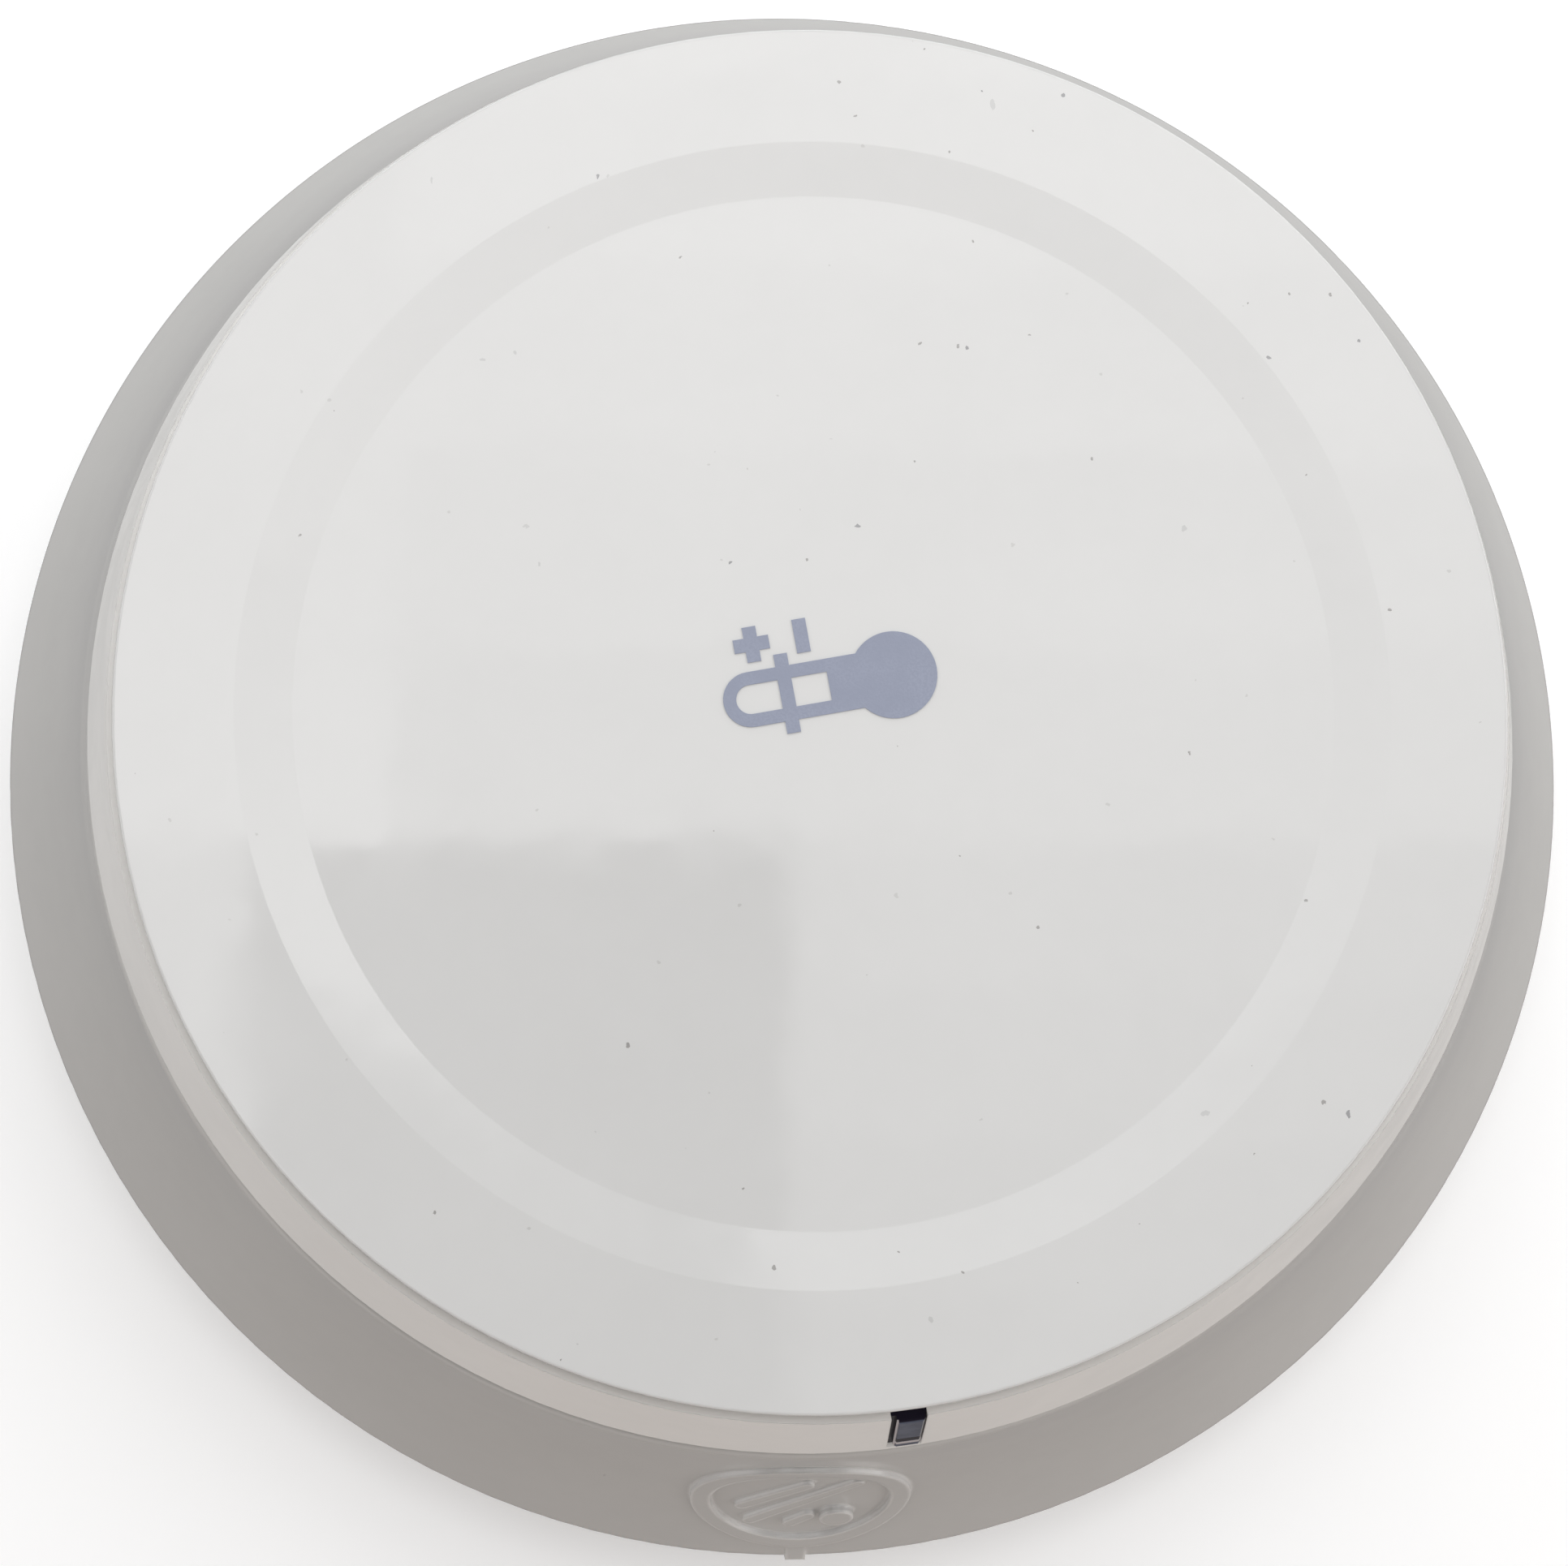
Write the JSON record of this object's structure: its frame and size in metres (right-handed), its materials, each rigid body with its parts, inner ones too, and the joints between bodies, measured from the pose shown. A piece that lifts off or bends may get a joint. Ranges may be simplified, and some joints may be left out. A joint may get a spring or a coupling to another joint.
{
  "type": "fixed temperature heat detector",
  "caption": "Round ceiling heat alarm: flared white housing, conical bezel, large press-to-test front disc, smoked indicator window and a twist-off mounting plate.",
  "frame": {"origin": "centre of the ceiling face of the mounting plate, on the axis of its round centre opening", "axes": "+Z out of the front face (down into the room when it hangs on a ceiling); the raised emblem, the indicator window and the alignment rib are towards -Y; +X is to the right seen from the front"},
  "size_m": [0.12, 0.1203, 0.0451],
  "materials": {
    "housing_white": "glossy off-white moulded plastic",
    "inner_white": "satin white moulded plastic",
    "steel": "zinc-plated steel",
    "spring_steel": "bright spring wire",
    "smoked_window": "glossy dark smoked plastic",
    "clear_acrylic": "clear moulded acrylic",
    "led_white": "small clear-domed LED",
    "black_plastic": "matt black plastic",
    "board_green": "green solder mask",
    "sensor_bead": "glass-coated bead on tinned leads",
    "battery_wrap": "plain blue shrink wrap",
    "foam_pad": "closed-cell foam",
    "nickel": "bright nickel",
    "brass": "bright brass sheet",
    "piezo_white": "silvered ceramic",
    "copper_wire": "bare copper wire",
    "chip_black": "matt moulded epoxy",
    "capacitor_sleeve": "dark sleeve",
    "print_grey_blue": "grey-blue pad print",
    "switch_grey": "grey plastic",
    "slider_black": "matt black plastic"
  },
  "bodies": {
    "plate": {"mounting_plate": "inner_white"},
    "head": {"back_cover": "inner_white", "housing_screws": "steel", "base_housing": "housing_white", "inlet_cage": "inner_white", "bezel": "housing_white", "indicator_lens": "smoked_window", "light_pipe": "clear_acrylic", "status_led": "led_white", "return_spring_1": "spring_steel", "return_spring_2": "spring_steel", "return_spring_3": "spring_steel", "test_switch_body": "black_plastic", "circuit_board": "board_green", "board_screws": "steel", "thermistor": "sensor_bead", "thermistor_sleeves": "black_plastic", "battery_cell": "battery_wrap", "battery_pad": "foam_pad", "battery_tabs": "nickel", "sounder_housing": "black_plastic", "sounder_clamp_ring": "black_plastic", "piezo_disc": "brass", "piezo_ceramic": "piezo_white", "sounder_contacts": "nickel", "radio_board": "board_green", "radio_shield": "nickel", "antenna_wire": "copper_wire", "microcontroller": "chip_black", "boost_inductor": "chip_black", "capacitors": "capacitor_sleeve", "slide_switch_body": "nickel"},
    "front_disc": {"test_disc": "housing_white", "printed_symbol": "print_grey_blue"},
    "plunger": {"switch_plunger": "switch_grey"},
    "slider": {"power_slider": "slider_black", "slide_switch_actuator": "black_plastic"}
  },
  "joints": [
    {"name": "head_twist", "type": "hinge", "parent": "plate", "child": "head", "pos_m": [0, 0, 0.005], "axis": [0, 0, 1], "range_deg": [0, 15]},
    {"name": "disc_press", "type": "slide", "parent": "head", "child": "front_disc", "axis": [0, 0, -1], "range_m": [0, 0.001], "stiffness_N_per_m": 1500, "springref_m": -0.001, "deforming": ["return_spring_1", "return_spring_2", "return_spring_3"]},
    {"name": "plunger_press", "type": "slide", "parent": "head", "child": "plunger", "axis": [0, 0, -1], "range_m": [0, 0.001]},
    {"name": "power_slide", "type": "slide", "parent": "head", "child": "slider", "axis": [1, 0, 0], "range_m": [0, 0.002]}
  ],
  "couplings": [
    {"joint": "plunger_press", "follows": "disc_press", "ratio": 1}
  ]
}
